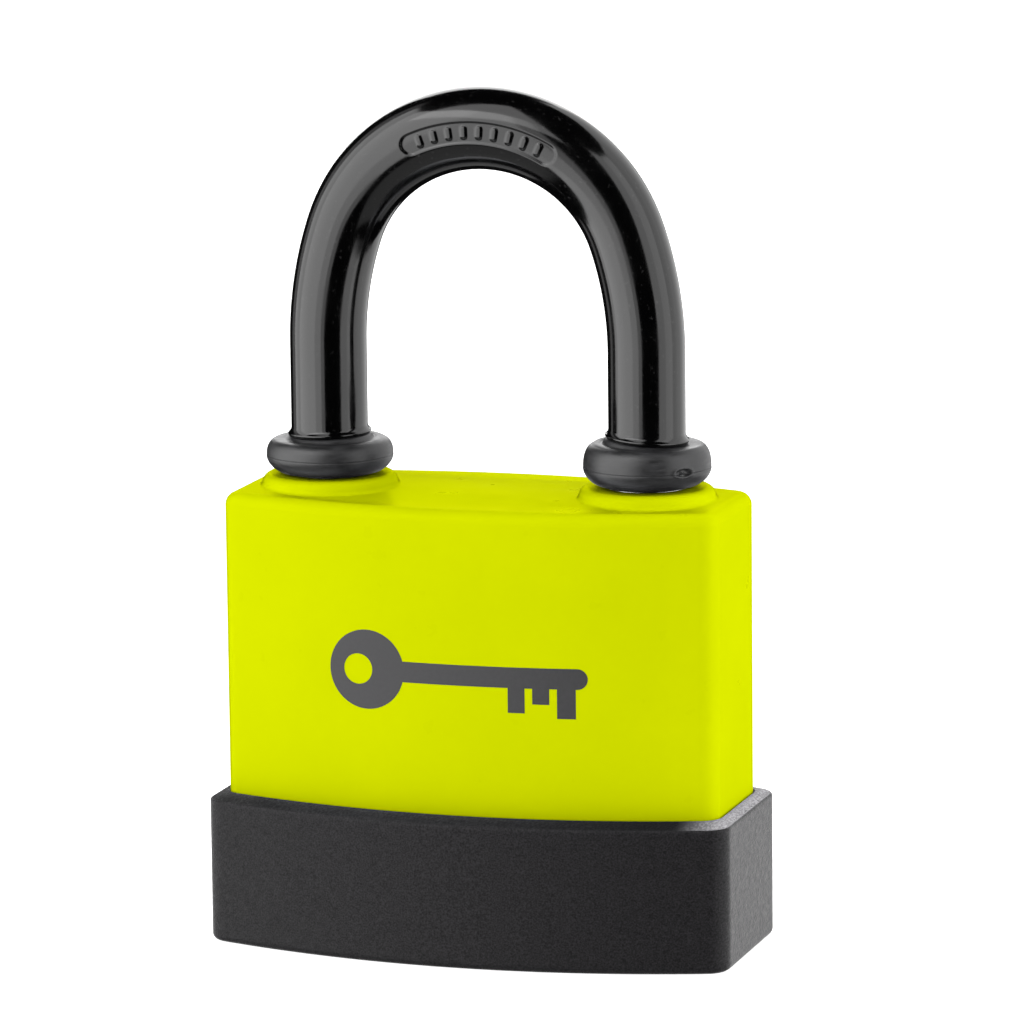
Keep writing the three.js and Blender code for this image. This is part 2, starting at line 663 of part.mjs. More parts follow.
const shackle = new THREE.Group();
padlock.add(shackle);
addPiece(shackle, "shackle_bar", shackleBar(), "bright_steel");
addPiece(shackle, "shackle_jacket", shackleJacket(), "jacket");
addPiece(shackle, "heel_collar", collar(), "rubber", [-LEG_X, 0, 0]);
addPiece(shackle, "toe_collar", collar(), "rubber", [LEG_X, 0, 0]);

const plugGroup = new THREE.Group();
padlock.add(plugGroup);
addPiece(plugGroup, "plug", plug(), "brass");
addPiece(plugGroup, "plug_clip", plugClip(), "steel");
addPiece(plugGroup, "plug_seal", plugSeal(), "rubber");
addPiece(plugGroup, "driver_cam", driverCam(), "steel");

discHeights.forEach((z, i) => {
  const station = new THREE.Group();
  station.position.z = z;
  plugGroup.add(station);
  addPiece(station, `disc_${i + 1}`, disc(DISC_WINDOW_SHIFTS[i]), "brass");
  const spring = coilSpring(DISC_SPRING, 8, 2).rotate([-90, 0, 0]);
  addPiece(station, `disc_spring_${i + 1}`, spring, "steel", [DISC_SPRING.x, DISC_SPRING.y, 0]);
});

const latches = new THREE.Group();
latches.position.z = BALL_Z;
padlock.add(latches);
addPiece(latches, "latch_ball_heel", latchBall(), "bright_steel", [-BALL_REST_X, 0, 0]);
addPiece(latches, "latch_ball_toe", latchBall(), "bright_steel", [BALL_REST_X, 0, 0]);

const shutter = new THREE.Group();
shutter.position.x = RIVET_X;
padlock.add(shutter);
addPiece(shutter, "keyway_cover", keywayCover(), "steel");

export default padlock;
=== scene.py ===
"""Looks for the disc padlock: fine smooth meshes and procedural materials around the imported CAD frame.

Lengths are millimetres in the frame's axes (+Z up, front towards -Y); a mesh turns them into metres.
"""
import math

import bmesh
import bpy
import numpy as np
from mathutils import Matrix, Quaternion, Vector, noise


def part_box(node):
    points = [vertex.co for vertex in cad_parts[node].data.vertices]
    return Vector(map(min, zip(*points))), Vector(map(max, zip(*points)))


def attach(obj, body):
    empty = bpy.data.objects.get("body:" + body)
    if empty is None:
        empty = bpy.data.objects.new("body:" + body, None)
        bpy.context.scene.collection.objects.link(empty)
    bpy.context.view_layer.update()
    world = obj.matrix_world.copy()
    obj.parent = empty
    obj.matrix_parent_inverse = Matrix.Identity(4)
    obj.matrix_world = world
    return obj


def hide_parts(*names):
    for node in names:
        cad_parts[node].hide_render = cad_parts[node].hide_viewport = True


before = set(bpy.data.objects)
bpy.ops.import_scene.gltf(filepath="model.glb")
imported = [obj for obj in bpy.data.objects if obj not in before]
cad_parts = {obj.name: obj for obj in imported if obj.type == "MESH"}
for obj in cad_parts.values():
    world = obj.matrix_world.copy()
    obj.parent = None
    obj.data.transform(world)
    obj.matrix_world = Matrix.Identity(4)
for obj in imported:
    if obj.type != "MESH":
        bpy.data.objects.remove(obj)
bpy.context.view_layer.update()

MM = 0.001
TURN = 2 * math.pi


def box_mm(node):
    """A CAD node's lowest and highest corners in millimetres."""
    low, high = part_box(node)
    return low / MM, high / MM


# ---------------------------------------------------------------- dimensions

COVER_LOW, COVER_HIGH = box_mm("body_cover")
BASE_HIGH = box_mm("base_cap")[1]
COLLAR_LOW, COLLAR_HIGH = box_mm("toe_collar")
JACKET_HIGH = box_mm("shackle_jacket")[1]
BAR_LOW, BAR_HIGH = box_mm("shackle_bar")
SEAL_LOW, SEAL_HIGH = box_mm("toe_bore_seal")
BALL_LOW, BALL_HIGH = box_mm("latch_ball_toe")

LEG_X = (COLLAR_LOW.x + COLLAR_HIGH.x) / 2
JACKET_R = JACKET_HIGH.y
BAR_R = BAR_HIGH.y
COLLAR_R = COLLAR_HIGH.y
RING_BORE_R = 4.65
CROWN_Z = JACKET_HIGH.z - JACKET_R
CROWN_R = 20.24
CROWN_HALF_ANGLE = math.radians(71.3)

BOSS_RISE = 1.7
BOSS_R = 8.9
BOSS_HOLE_R = SEAL_HIGH.x - LEG_X + 0.15
COVER_TOP = COVER_HIGH.z - BOSS_RISE
COVER_EDGE = 1.7
COVER_WALL = 2.4
COVER_ROOF = 2.5
BASE_FLOOR = 4.2

MARK_Z = 38.0
MARK_BOW_X = -12.0


# ---------------------------------------------------------------- mesh tools


def add_mesh(name, points, faces):
    """A new object from points in millimetres, with its faces turned outwards."""
    mesh = bpy.data.meshes.new(name)
    mesh.from_pydata((np.asarray(points, float) * MM).tolist(), [], faces)
    work = bmesh.new()
    work.from_mesh(mesh)
    bmesh.ops.recalc_face_normals(work, faces=work.faces)
    work.to_mesh(mesh)
    work.free()
    piece = bpy.data.objects.new(name, mesh)
    bpy.context.scene.collection.objects.link(piece)
    return piece


def skin(name, rings, ring_of_rings=False):
    """A closed mesh over rings of points. Its ends are filled, or join each other in a ring of rings."""
    rings = np.asarray(rings, float)
    count, width = rings.shape[:2]
    index = np.arange(count * width).reshape(count, width)
    start = index if ring_of_rings else index[:-1]
    end = np.roll(index, -1, 0) if ring_of_rings else index[1:]
    corners = [start, np.roll(start, -1, 1), np.roll(end, -1, 1), end]
    faces = np.stack(corners, -1).reshape(-1, 4).tolist()
    if not ring_of_rings:
        faces.append(index[0][::-1].tolist())
        faces.append(index[-1].tolist())
    return add_mesh(name, rings.reshape(-1, 3), faces)


def softened(corners, radius, closed=False, steps=5):
    """A profile's points with each corner rounded off, by the radius or as far as its edges allow."""
    corners = np.asarray(corners, float)
    points = []
    for i, corner in enumerate(corners):
        if not closed and i in (0, len(corners) - 1):
            points.append(corner)
            continue
        before = corners[i - 1] - corner
        after = corners[(i + 1) % len(corners)] - corner
        lengths = np.linalg.norm(before), np.linalg.norm(after)
        reach = min(radius, 0.45 * lengths[0], 0.45 * lengths[1])
        start = corner + before / lengths[0] * reach
        end = corner + after / lengths[1] * reach
        for t in np.linspace(0, 1, steps):
            points.append((1 - t) ** 2 * start + 2 * t * (1 - t) * corner + t**2 * end)
    return points


def lathe(name, profile, sides, x=0.0, y=0.0, closed=False):
    """A turned piece from [radius, height] points: a ring when closed, or else filled at its ends."""
    angles = np.arange(sides) * TURN / sides
    circle = np.stack([np.cos(angles), np.sin(angles)], 1)
    rings = [np.column_stack([circle * radius + (x, y), np.full(sides, z)]) for radius, z in profile]
    return skin(name, rings, ring_of_rings=closed)


def bake_modifiers(piece):
    """Replaces the piece's mesh by what its modifiers make of it."""
    shown = piece.evaluated_get(bpy.context.evaluated_depsgraph_get())
    mesh = bpy.data.meshes.new_from_object(shown)
    piece.modifiers.clear()
    piece.data = mesh


def combine(piece, tool, operation):
    """A boolean of piece with tool, which is used up."""
    modifier = piece.modifiers.new("combine", "BOOLEAN")
    modifier.operation = operation
    modifier.solver = "EXACT"
    modifier.object = tool
    bake_modifiers(piece)
    bpy.data.objects.remove(tool)


def smooth(piece, sharp_angle=35.0):
    """Smooth shading, broken along edges sharper than the angle."""
    piece.data.shade_smooth()
    piece.data.set_sharp_from_angle(angle=math.radians(sharp_angle))


def place(piece, body, material, slot, *nodes):
    """Gives a finished piece its material and body, and hides the CAD nodes that it stands for. The slot is
    not used.
    """
    piece.data.materials.clear()
    piece.data.materials.append(material)
    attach(piece, body)
    if nodes:
        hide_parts(*nodes)


# ---------------------------------------------------------------- material tools


def new_material(name, **inputs):
    """A material and its Principled shader, with whole-surface values set on the shader's own sockets."""
    material = bpy.data.materials.new(name)
    material.use_nodes = True
    shader = material.node_tree.nodes["Principled BSDF"]
    for socket, value in inputs.items():
        shader.inputs[socket.replace("_", " ")].default_value = value
    return material, shader


def add_node(shader, kind, **values):
    """A node in the shader's tree. A value sets the input of its name, or else the node's own setting."""
    node = shader.id_data.nodes.new(kind)
    for name, value in values.items():
        if name in node.inputs:
            node.inputs[name].default_value = value
        else:
            setattr(node, name, value)
    return node


def link(shader, output, target):
    shader.id_data.links.new(output, target)


def grain(shader, scale, detail=2.0, stretch=(1, 1, 1)):
    """A noise value over the surface, its scale in cycles per metre, stretched along the axes."""
    place_node = add_node(shader, "ShaderNodeTexCoord")
    mapping = add_node(shader, "ShaderNodeMapping", Scale=stretch)
    pattern = add_node(shader, "ShaderNodeTexNoise", Scale=scale, Detail=detail)
    link(shader, place_node.outputs["Object"], mapping.inputs["Vector"])
    link(shader, mapping.outputs["Vector"], pattern.inputs["Vector"])
    return pattern.outputs["Fac"]


def spread(shader, value, low, high, source=(0.3, 0.7)):
    """A value mapped from its usual range to low..high."""
    ranges = {"From Min": source[0], "From Max": source[1], "To Min": low, "To Max": high}
    node = add_node(shader, "ShaderNodeMapRange", **ranges)
    link(shader, value, node.inputs["Value"])
    return node.outputs["Result"]


def tint(shader, value, first, second, source=(0.3, 0.7)):
    """A colour between two, by a noise value."""
    ramp = add_node(shader, "ShaderNodeValToRGB")
    ramp.color_ramp.elements[0].position = source[0]
    ramp.color_ramp.elements[1].position = source[1]
    ramp.color_ramp.elements[0].color = (*first, 1)
    ramp.color_ramp.elements[1].color = (*second, 1)
    link(shader, value, ramp.inputs["Fac"])
    return ramp.outputs["Color"]


def bump(shader, height, depth_mm, under=None):
    """A bump of the given depth, on top of another bump's normal if there is one."""
    node = add_node(shader, "ShaderNodeBump", Strength=1.0, Distance=depth_mm * MM)
    link(shader, height, node.inputs["Height"])
    if under:
        link(shader, under, node.inputs["Normal"])
    return node.outputs["Normal"]


def wear_in(shader, colour=None, roughness=None, normal=None):
    """Links what is given to the shader's colour, roughness and normal."""
    for socket, output in (("Base Color", colour), ("Roughness", roughness), ("Normal", normal)):
        if output:
            link(shader, output, shader.inputs[socket])


# ---------------------------------------------------------------- materials


def cover_plastic():
    """Yellow-green plastic. Its gloss is coloured like the plastic, so it comes from Metallic, by Fresnel."""
    material, shader = new_material(
        "cover_plastic", Specular_IOR_Level=0.0, Specular_Tint=(1.0, 1.0, 0.05, 1)
    )
    facing = add_node(shader, "ShaderNodeFresnel", IOR=1.5)
    gloss = spread(shader, facing.outputs["Fac"], 0.02, 1.0, source=(0.04, 0.9))
    link(shader, gloss, shader.inputs["Metallic"])
    cloud = grain(shader, 60, 3)
    fine = grain(shader, 2600, 2)
    wear_in(
        shader,
        tint(shader, cloud, (0.592, 0.673, 0.0), (0.621, 0.702, 0.0)),
        spread(shader, grain(shader, 240, 3), 0.27, 0.36),
        bump(shader, fine, 0.004, bump(shader, grain(shader, 90, 1), 0.012)),
    )
    return material


# The base's grain is drawn out to twice its length from front to back.
BASE_GRAIN = (1, 0.5, 1)


def base_plastic():
    """Black plastic with a fine moulded grain."""
    material, shader = new_material(
        "base_plastic", Specular_IOR_Level=0.12, Sheen_Weight=0.57, Sheen_Roughness=0.3
    )
    coarse = grain(shader, 1500, 3, BASE_GRAIN)
    fine = grain(shader, 4600, 3, BASE_GRAIN)
    wear_in(
        shader,
        tint(shader, fine, (0.001, 0.001, 0.0012), (0.014, 0.0132, 0.0146)),
        spread(shader, coarse, 0.4, 0.6),
        bump(shader, fine, 0.05, bump(shader, coarse, 0.025)),
    )
    return material


def base_ledge():
    """The cap's ledge in painted shade: the base's black without its sheen, with a painted pale highlight
    round the toe end.
    """
    material, shader = new_material("base_ledge", Specular_IOR_Level=0.1)
    fine = grain(shader, 3800, 3, BASE_GRAIN)
    place_node = add_node(shader, "ShaderNodeTexCoord")
    axes = add_node(shader, "ShaderNodeSeparateXYZ")
    link(shader, place_node.outputs["Object"], axes.inputs["Vector"])
    # Painted highlight: the base colour turns from near-black to pale grey towards the toe end, along X.
    near_end = spread(shader, axes.outputs["X"], 0.0, 1.0, source=(28.5 * MM, 35.3 * MM))
    near_end.node.interpolation_type = "SMOOTHSTEP"
    painted_highlight = add_node(shader, "ShaderNodeMath", operation="MULTIPLY")
    link(shader, near_end, painted_highlight.inputs[0])
    link(shader, spread(shader, fine, 0.5, 1.0, source=(0.42, 0.6)), painted_highlight.inputs[1])
    # Painted shade: near-black base colour over the ledge; painted highlight: pale grey at the toe end.
    wear_in(
        shader,
        tint(shader, painted_highlight.outputs["Value"], (0.003, 0.003, 0.0032), (0.245, 0.24, 0.25), source=(0.0, 1.0)),
        spread(shader, fine, 0.5, 0.7),
        bump(shader, fine, 0.05),
    )
    return material


def jacket_plastic():
    """Glossy black plastic with a few pale specks and a slow waviness."""
    material, shader = new_material("jacket_plastic")
    speck = grain(shader, 1900, 1)
    wear_in(
        shader,
        tint(shader, speck, (0.0003, 0.0003, 0.00035), (0.01, 0.01, 0.01), source=(0.66, 0.8)),
        spread(shader, grain(shader, 300, 3), 0.09, 0.17),
        bump(shader, speck, 0.0015, bump(shader, grain(shader, 150, 1), 0.012)),
    )
    return material


def rubber():
    """Satin black rubber, marked a little round and round."""
    material, shader = new_material("rubber", Specular_IOR_Level=0.5)
    rings = grain(shader, 500, 4, stretch=(1, 1, 5))
    wear_in(
        shader,
        tint(shader, rings, (0.003, 0.003, 0.0033), (0.01, 0.01, 0.011)),
        spread(shader, rings, 0.36, 0.5),
        bump(shader, grain(shader, 2600, 2), 0.01, bump(shader, rings, 0.02)),
    )
    return material


def print_ink():
    """The thin dark ink of the mark on the cover."""
    material, shader = new_material("print_ink", Specular_IOR_Level=0.3)
    speck = grain(shader, 1800, 3)
    wear_in(
        shader,
        tint(shader, speck, (0.022, 0.0215, 0.023), (0.028, 0.0275, 0.029)),
        spread(shader, speck, 0.42, 0.55),
        bump(shader, speck, 0.003),
    )
    return material


def metal(name, dark, light, roughness, stretch, depth):
    """Worked metal: fine tool marks along the stretched axes, and slow changes of tone."""
    material, shader = new_material(name, Metallic=1.0)
    marks = grain(shader, 900, 3, stretch)
    wear_in(
        shader,
        tint(shader, grain(shader, 130, 3), dark, light),
        spread(shader, marks, *roughness),
        bump(shader, marks, depth),
    )
    return material


MATERIALS = {
    "cover_plastic": cover_plastic(),
    "base_plastic": base_plastic(),
    "base_ledge": base_ledge(),
    "jacket_plastic": jacket_plastic(),
    "rubber": rubber(),
    "print_ink": print_ink(),
    "hardened_steel": metal(
        "hardened_steel", (0.6, 0.61, 0.63), (0.7, 0.71, 0.73), (0.12, 0.22), (1, 1, 4), 0.002
    ),
    "steel": metal("steel", (0.5, 0.51, 0.53), (0.62, 0.63, 0.66), (0.26, 0.42), (1, 4, 1), 0.005),
    "brass": metal("brass", (0.6, 0.42, 0.15), (0.72, 0.53, 0.21), (0.22, 0.36), (1, 1, 5), 0.004),
}


# ---------------------------------------------------------------- plan outlines


class Plan:
    """A plan outline with straight ends, bulged front and back faces, and round corners."""

    def __init__(self, high_corner, bulge, corner, counts):
        self.half_x = high_corner.x
        self.bulge = bulge
        self.flank = high_corner.y - bulge
        self.corner = corner
        self.points, self.normals = self.outline(*counts)

    def face_y(self, x):
        return self.flank + self.bulge * (1 - (x / self.half_x) ** 2)

    def face_normal(self, x):
        slope = 2 * self.bulge * x / self.half_x**2
        return np.array([slope, 1.0]) / math.hypot(slope, 1.0)

    def quarter(self, end_count, corner_count, face_count):
        """Points and outward normals from the end's middle, round one corner, to the face's middle."""
        join_x = self.half_x
        for _ in range(9):
            join_x = self.half_x - self.corner * (1 - self.face_normal(join_x)[0])
        join_normal = self.face_normal(join_x)
        centre = np.array([join_x, self.face_y(join_x)]) - self.corner * join_normal
        points, normals = [], []
        for y in np.linspace(0, centre[1], end_count, endpoint=False):
            points.append((self.half_x, y))
            normals.append((1, 0))
        for angle in np.linspace(0, math.atan2(join_normal[1], join_normal[0]), corner_count, endpoint=False):
            normal = np.array([math.cos(angle), math.sin(angle)])
            points.append(centre + self.corner * normal)
            normals.append(normal)
        for x in np.linspace(join_x, 0, face_count + 1):
            points.append((x, self.face_y(x)))
            normals.append(self.face_normal(x))
        return np.array(points), np.array(normals)

    def outline(self, *counts):
        points, normals = self.quarter(*counts)
        whole_points, whole_normals = [], []
        for turn, flip in enumerate([(1, 1), (-1, 1), (-1, -1), (1, -1)]):
            order = -1 if turn % 2 else 1
            whole_points.append((points * flip)[::order][:-1])
            whole_normals.append((normals * flip)[::order][:-1])
        return np.concatenate(whole_points), np.concatenate(whole_normals)

    def ring(self, inset, z):
        """The outline moved inwards by inset, at height z."""
        return np.column_stack([self.points - self.normals * inset, np.full(len(self.points), z)])


COVER = Plan(COVER_HIGH, bulge=5.7, corner=2.8, counts=(14, 12, 36))
BASE_COUNTS = (30, 14, 94)
BASE = Plan(BASE_HIGH, bulge=6.3, corner=3.3, counts=BASE_COUNTS)
CUP = Plan(COVER_HIGH, bulge=5.7, corner=2.8, counts=BASE_COUNTS)


# ---------------------------------------------------------------- body cover


def quarter_round(radius, top, steps=12):
    """[inset, height] points of a rounded top edge, from the wall up to the top face."""
    angles = np.linspace(0, math.pi / 2, steps + 1)
    return [(radius * (1 - math.cos(a)), top - radius + radius * math.sin(a)) for a in angles]


def boss_profile():
    """A raised ring's outer profile: a small fillet at its foot, and a rounded top edge."""
    fillet, edge = 0.6, 1.3
    profile = [(BOSS_R + fillet + 0.3, COVER_TOP - 0.6), (BOSS_R + fillet + 0.25, COVER_TOP - 0.04)]
    for a in np.linspace(0, math.pi / 2, 7):
        profile.append((BOSS_R + fillet * (1 - math.sin(a)), COVER_TOP + fillet * (1 - math.cos(a)) + 0.01))
    top = COVER_TOP + BOSS_RISE
    for a in np.linspace(0, math.pi / 2, 9):
        profile.append((BOSS_R - edge * (1 - math.cos(a)), top - edge * (1 - math.sin(a))))
    profile.append((BOSS_R - edge - 0.1, top))
    return profile


SEAL_TOP = COVER_TOP + BOSS_RISE - 0.65
HOLE_LIP_R = 5.2


def hole_profile():
    """The cutter of a shackle hole: a wide bore for the seal, and a narrower mouth with an eased edge."""
    top = COVER_TOP + BOSS_RISE
    ease = 0.25
    bore_top = SEAL_TOP + 0.05
    profile = [(BOSS_HOLE_R, COVER_TOP - COVER_ROOF - 2), (BOSS_HOLE_R, bore_top)]
    profile += [(HOLE_LIP_R, bore_top), (HOLE_LIP_R, top - ease)]
    for a in np.linspace(0, math.pi / 2, 7)[1:]:
        profile.append((HOLE_LIP_R + ease * (1 - math.cos(a)), top - ease + ease * math.sin(a)))
    profile.append((HOLE_LIP_R + ease + 0.02, top + 1))
    return profile


def build_body_cover():
    outside = [(0.0, z) for z in np.linspace(COVER_LOW.z, COVER_TOP - COVER_EDGE, 12, endpoint=False)]
    outside += quarter_round(COVER_EDGE, COVER_TOP) + [(COVER_EDGE + 0.15, COVER_TOP)]
    cover = skin("body_cover_shell", [COVER.ring(inset, z) for inset, z in outside])
    roof = COVER_TOP - COVER_ROOF
    inside = [(COVER_WALL, COVER_LOW.z - 1), (COVER_WALL, roof - 0.4), (COVER_WALL + 0.4, roof)]
    for side in (-1, 1):
        combine(cover, lathe("boss", boss_profile(), 128, side * LEG_X), "UNION")
    combine(cover, skin("hollow", [COVER.ring(inset, z) for inset, z in inside]), "DIFFERENCE")
    for side in (-1, 1):
        combine(cover, lathe("hole", hole_profile(), 128, side * LEG_X), "DIFFERENCE")
    smooth(cover, 25)
    # Kept out of reflections and bounced light, so that its yellow doesn't tint the black pieces.
    cover.visible_diffuse = False
    cover.visible_glossy = False
    place(cover, "case", MATERIALS["cover_plastic"], "cover_plastic", "body_cover")


# ---------------------------------------------------------------- base cap


def rough(points, normals, depth, scale):
    """Points pushed in and out along their normals by a steady noise, depth deep."""
    moved = np.array(points)
    for i, (point, normal) in enumerate(zip(points, normals)):
        seed = Vector(point) * scale
        height = noise.noise(seed) + 0.5 * noise.noise(seed * 2.3)
        moved[i] += np.array(normal) * height * depth
    return moved


def capsule(x, y, length, radius, angle, steps=32):
    """A slot's outline: half circles about (x, y) and about a second centre at that length and angle."""
    far = (x + length * math.cos(angle), y + length * math.sin(angle))
    points = []
    for (cx, cy), first in (((x, y), angle + math.pi / 2), (far, angle - math.pi / 2)):
        for a in np.linspace(first, first + math.pi, steps):
            points.append((cx + radius * math.cos(a), cy + radius * math.sin(a)))
    return points


RIVET_X = (box_mm("keyway_rivet")[0].x + box_mm("keyway_rivet")[1].x) / 2
SHUTTER_HIGH = box_mm("keyway_cover")[1]
SHUTTER_HALF = SHUTTER_HIGH.y
SHUTTER_PLATE_LOW = 0.9
RECESS_TOP = 2.6
SCREW_X = (box_mm("base_screw_right")[0].x + box_mm("base_screw_right")[1].x) / 2
PLUG_HEAD_R = 4.8


def sector(x, radius, steps=48):
    """A quarter circle about (x, 0), from the -X direction to the +Y direction."""
    points = [(x, 0)]
    for a in np.linspace(math.pi / 2, math.pi, steps):
        points.append((x + radius * math.cos(a), radius * math.sin(a)))
    return points


def eased_cutter(name, outline_for):
    """A cutter for the recess, wider at its mouth. outline_for(extra) gives the outline grown by extra."""
    levels = [(0.45, -0.5), (0.45, -0.01), (0.2, 0.12), (0.04, 0.36), (0.0, 0.5), (0.0, RECESS_TOP)]
    rings = []
    for extra, z in levels:
        outline = outline_for(extra)
        rings.append(np.column_stack([outline, np.full(len(outline), z)]))
    return skin(name, rings)


def base_profile():
    """[inset, height] points from the rounded foot, up the wall and round its top edge."""
    foot, edge, drop = 0.8, 0.35, 0.6
    rows = []
    for a in np.linspace(0, math.pi / 2, 5):
        rows.append((foot * (1 - math.sin(a)), foot * (1 - math.cos(a))))
    edge_low = BASE_HIGH.z - drop - edge
    wall = np.linspace(foot, edge_low, 50)[1:]
    rows += [(0.0, z) for z in wall]
    for a in np.linspace(0, math.pi / 2, 5)[1:]:
        rows.append((edge * (1 - math.cos(a)), edge_low + edge * math.sin(a)))
    return rows


def base_ledge_rings(start, rim, steps=7):
    """Rings over the ledge, from the wall's top edge up to the cup's rim."""
    rings = []
    for t in np.linspace(0, 1, steps + 1)[1:]:
        ring = start * (1 - t) + rim * t
        ring[:, 2] = start[:, 2] + (rim[:, 2] - start[:, 2]) * (1 - (1 - t) ** 1.35)
        rings.append(ring)
    return rings


def build_base_cap():
    clearance = -0.15
    rings = [BASE.ring(inset, z) for inset, z in base_profile()]
    out = np.column_stack([BASE.normals, np.zeros(len(BASE.normals))])
    up = np.array([0.0, 0.0, 1.0])
    grain_depth, grain_scale = 0.012, 1.6
    rings = [rings[0]] + [rough(ring, out, grain_depth, grain_scale) for ring in rings[1:]]
    rim = CUP.ring(clearance - 0.12, BASE_HIGH.z)
    ledge = base_ledge_rings(rings[-1], rim)
    slope = (out + up) / math.sqrt(2)
    ledge = [rough(ring, slope, grain_depth, grain_scale) for ring in ledge[:-1]] + [ledge[-1]]
    inside = [(clearance, BASE_HIGH.z - 0.15), (clearance, BASE_FLOOR + 0.4), (clearance + 0.4, BASE_FLOOR)]
    cap = skin("base_cap_shell", rings + ledge + [CUP.ring(inset, z) for inset, z in inside])
    reach = SHUTTER_HALF + 0.3
    cutters = [
        eased_cutter("swept", lambda extra: sector(RIVET_X, RIVET_X + reach + extra)),
        eased_cutter("shut", lambda extra: capsule(RIVET_X, 0, RIVET_X, reach + extra, math.pi)),
        eased_cutter("open", lambda extra: capsule(RIVET_X, 0, RIVET_X, reach + extra, math.pi / 2)),
        lathe("keyhole", keyhole_profile(), 96),
        lathe("rivet_hole", [(1.4, 0), (1.4, 3.4), (2.5, 3.4), (2.5, BASE_FLOOR + 1)], 48, RIVET_X),
    ]
    cutters += [lathe("sink", screw_sink_profile(), 48, side * SCREW_X) for side in (-1, 1)]
    for cutter in cutters:
        combine(cap, cutter, "DIFFERENCE")
    smooth(cap, 40)
    place(cap, "case", MATERIALS["base_plastic"], "base_plastic", "base_cap")
    finish_ledge(cap)


def finish_ledge(cap):
    """Gives the cap's flat ledge, just under its rim, its own material: painted shade, with a painted
    highlight at the toe end.
    """
    cap.data.materials.append(MATERIALS["base_ledge"])
    ledge_low = (BASE_HIGH.z - 1) * MM
    least_upward = 0.85
    # Up-facing faces near the rim get the painted shade and highlight.
    for face in cap.data.polygons:
        if face.center.z > ledge_low and face.normal.z > least_upward:
            face.material_index = 1


def keyhole_profile():
    """The cutter of the hole for the plug's head, eased where it leaves the recess."""
    radius = PLUG_HEAD_R + 0.1
    wide = radius + 0.5
    return [(wide, -1), (wide, RECESS_TOP), (radius, RECESS_TOP + 0.45), (radius, BASE_FLOOR + 1)]


def screw_sink_profile():
    """The cutter of a countersunk screw hole."""
    return [(3.1, -1), (3.1, 0.0), (2.8, 0.3), (2.8, 1.0), (1.55, 2.3), (1.55, BASE_FLOOR + 1)]


# ---------------------------------------------------------------- shackle


class Arch:
    """The shackle's centreline: straight legs, flank arcs and a crown arc, all tangent to each other."""

    def __init__(self):
        flank_angle = math.pi / 2 - CROWN_HALF_ANGLE
        join_x = CROWN_R * math.sin(CROWN_HALF_ANGLE)
        self.centre_z = CROWN_Z - CROWN_R
        join_z = self.centre_z + CROWN_R * math.cos(CROWN_HALF_ANGLE)
        self.flank_r = (LEG_X - join_x) / (1 - math.cos(flank_angle))
        self.flank_z = join_z - self.flank_r * math.sin(flank_angle)
        self.crown_reach = CROWN_R * CROWN_HALF_ANGLE
        self.leg_reach = self.crown_reach + self.flank_r * flank_angle

    def at(self, distance):
        """Place and outward direction at a distance from the crown's middle, positive towards the toe leg."""
        side, way = math.copysign(1, distance), abs(distance)
        if way <= self.crown_reach:
            angle = math.pi / 2 - way / CROWN_R
            x, z = CROWN_R * math.cos(angle), self.centre_z + CROWN_R * math.sin(angle)
        elif way <= self.leg_reach:
            angle = (self.leg_reach - way) / self.flank_r
            x = LEG_X - self.flank_r * (1 - math.cos(angle))
            z = self.flank_z + self.flank_r * math.sin(angle)
        else:
            angle, x, z = 0.0, LEG_X, self.flank_z - (way - self.leg_reach)
        return np.array([side * x, 0, z]), np.array([side * math.cos(angle), 0, math.sin(angle)])

    def distance_of(self, z):
        """How far from the crown's middle the straight leg passes height z."""
        return self.leg_reach + self.flank_z - z

    def section(self, distance, radii, angles):
        """A ring round the centreline. Angle 0 is outwards and a quarter turn is the front, towards -Y."""
        centre, outward = self.at(distance)
        front = np.array([0.0, -1.0, 0.0])
        arms = np.outer(np.cos(angles), outward) + np.outer(np.sin(angles), front)
        return centre + arms * np.reshape(radii, (-1, 1))


ARCH = Arch()
CROWN_SWELL = 0.36
CARTOUCHE = {"middle": 0.9, "half_length": 10.9, "half_width": 1.5, "depth": 0.28, "ramp": 0.3}
CARTOUCHE_RIBS = {"count": 9, "pitch": 2.05, "half_length": 0.95, "half_width": 0.48, "rise": 0.17}


def stadium(along, across, half_length, half_width):
    """Distance outside (positive) or inside (negative) a slot shape with round ends."""
    past = np.maximum(np.abs(along) - (half_length - half_width), 0)
    return np.hypot(past, across) - half_width


def cartouche_height(distance, angles, radius):
    """Height of the jacket's skin in the sunk panel on the crown, with its row of plain raised ribs."""
    across = (angles - math.pi / 2) * radius
    along = distance - CARTOUCHE["middle"]
    edge = stadium(along, across, CARTOUCHE["half_length"], CARTOUCHE["half_width"])
    sunk = np.clip(-edge / CARTOUCHE["ramp"], 0, 1)
    height = -CARTOUCHE["depth"] * sunk * sunk * (3 - 2 * sunk)
    for i in range(CARTOUCHE_RIBS["count"]):
        middle = (i - (CARTOUCHE_RIBS["count"] - 1) / 2) * CARTOUCHE_RIBS["pitch"]
        rib = stadium(across, along - middle, CARTOUCHE_RIBS["half_length"], CARTOUCHE_RIBS["half_width"])
        height += CARTOUCHE_RIBS["rise"] * np.clip(-rib / 0.2, 0, 1)
    return height


JACKET_ENDS = {"heel": {"z": 66.1, "slant": 0.04}, "toe": {"z": 67.1, "slant": 0.08}}
LIP = {"reach": 1.1, "edge": 0.35, "proud": 0.45}


def jacket_lip(from_end):
    """Extra radius of the jacket's flared lip, by the distance from its end."""
    if from_end > LIP["reach"]:
        return 0.0
    if from_end > LIP["edge"]:
        t = (LIP["reach"] - from_end) / (LIP["reach"] - LIP["edge"])
        return LIP["proud"] * t * t
    return LIP["proud"] - 0.12 * ((LIP["edge"] - from_end) / LIP["edge"]) ** 2


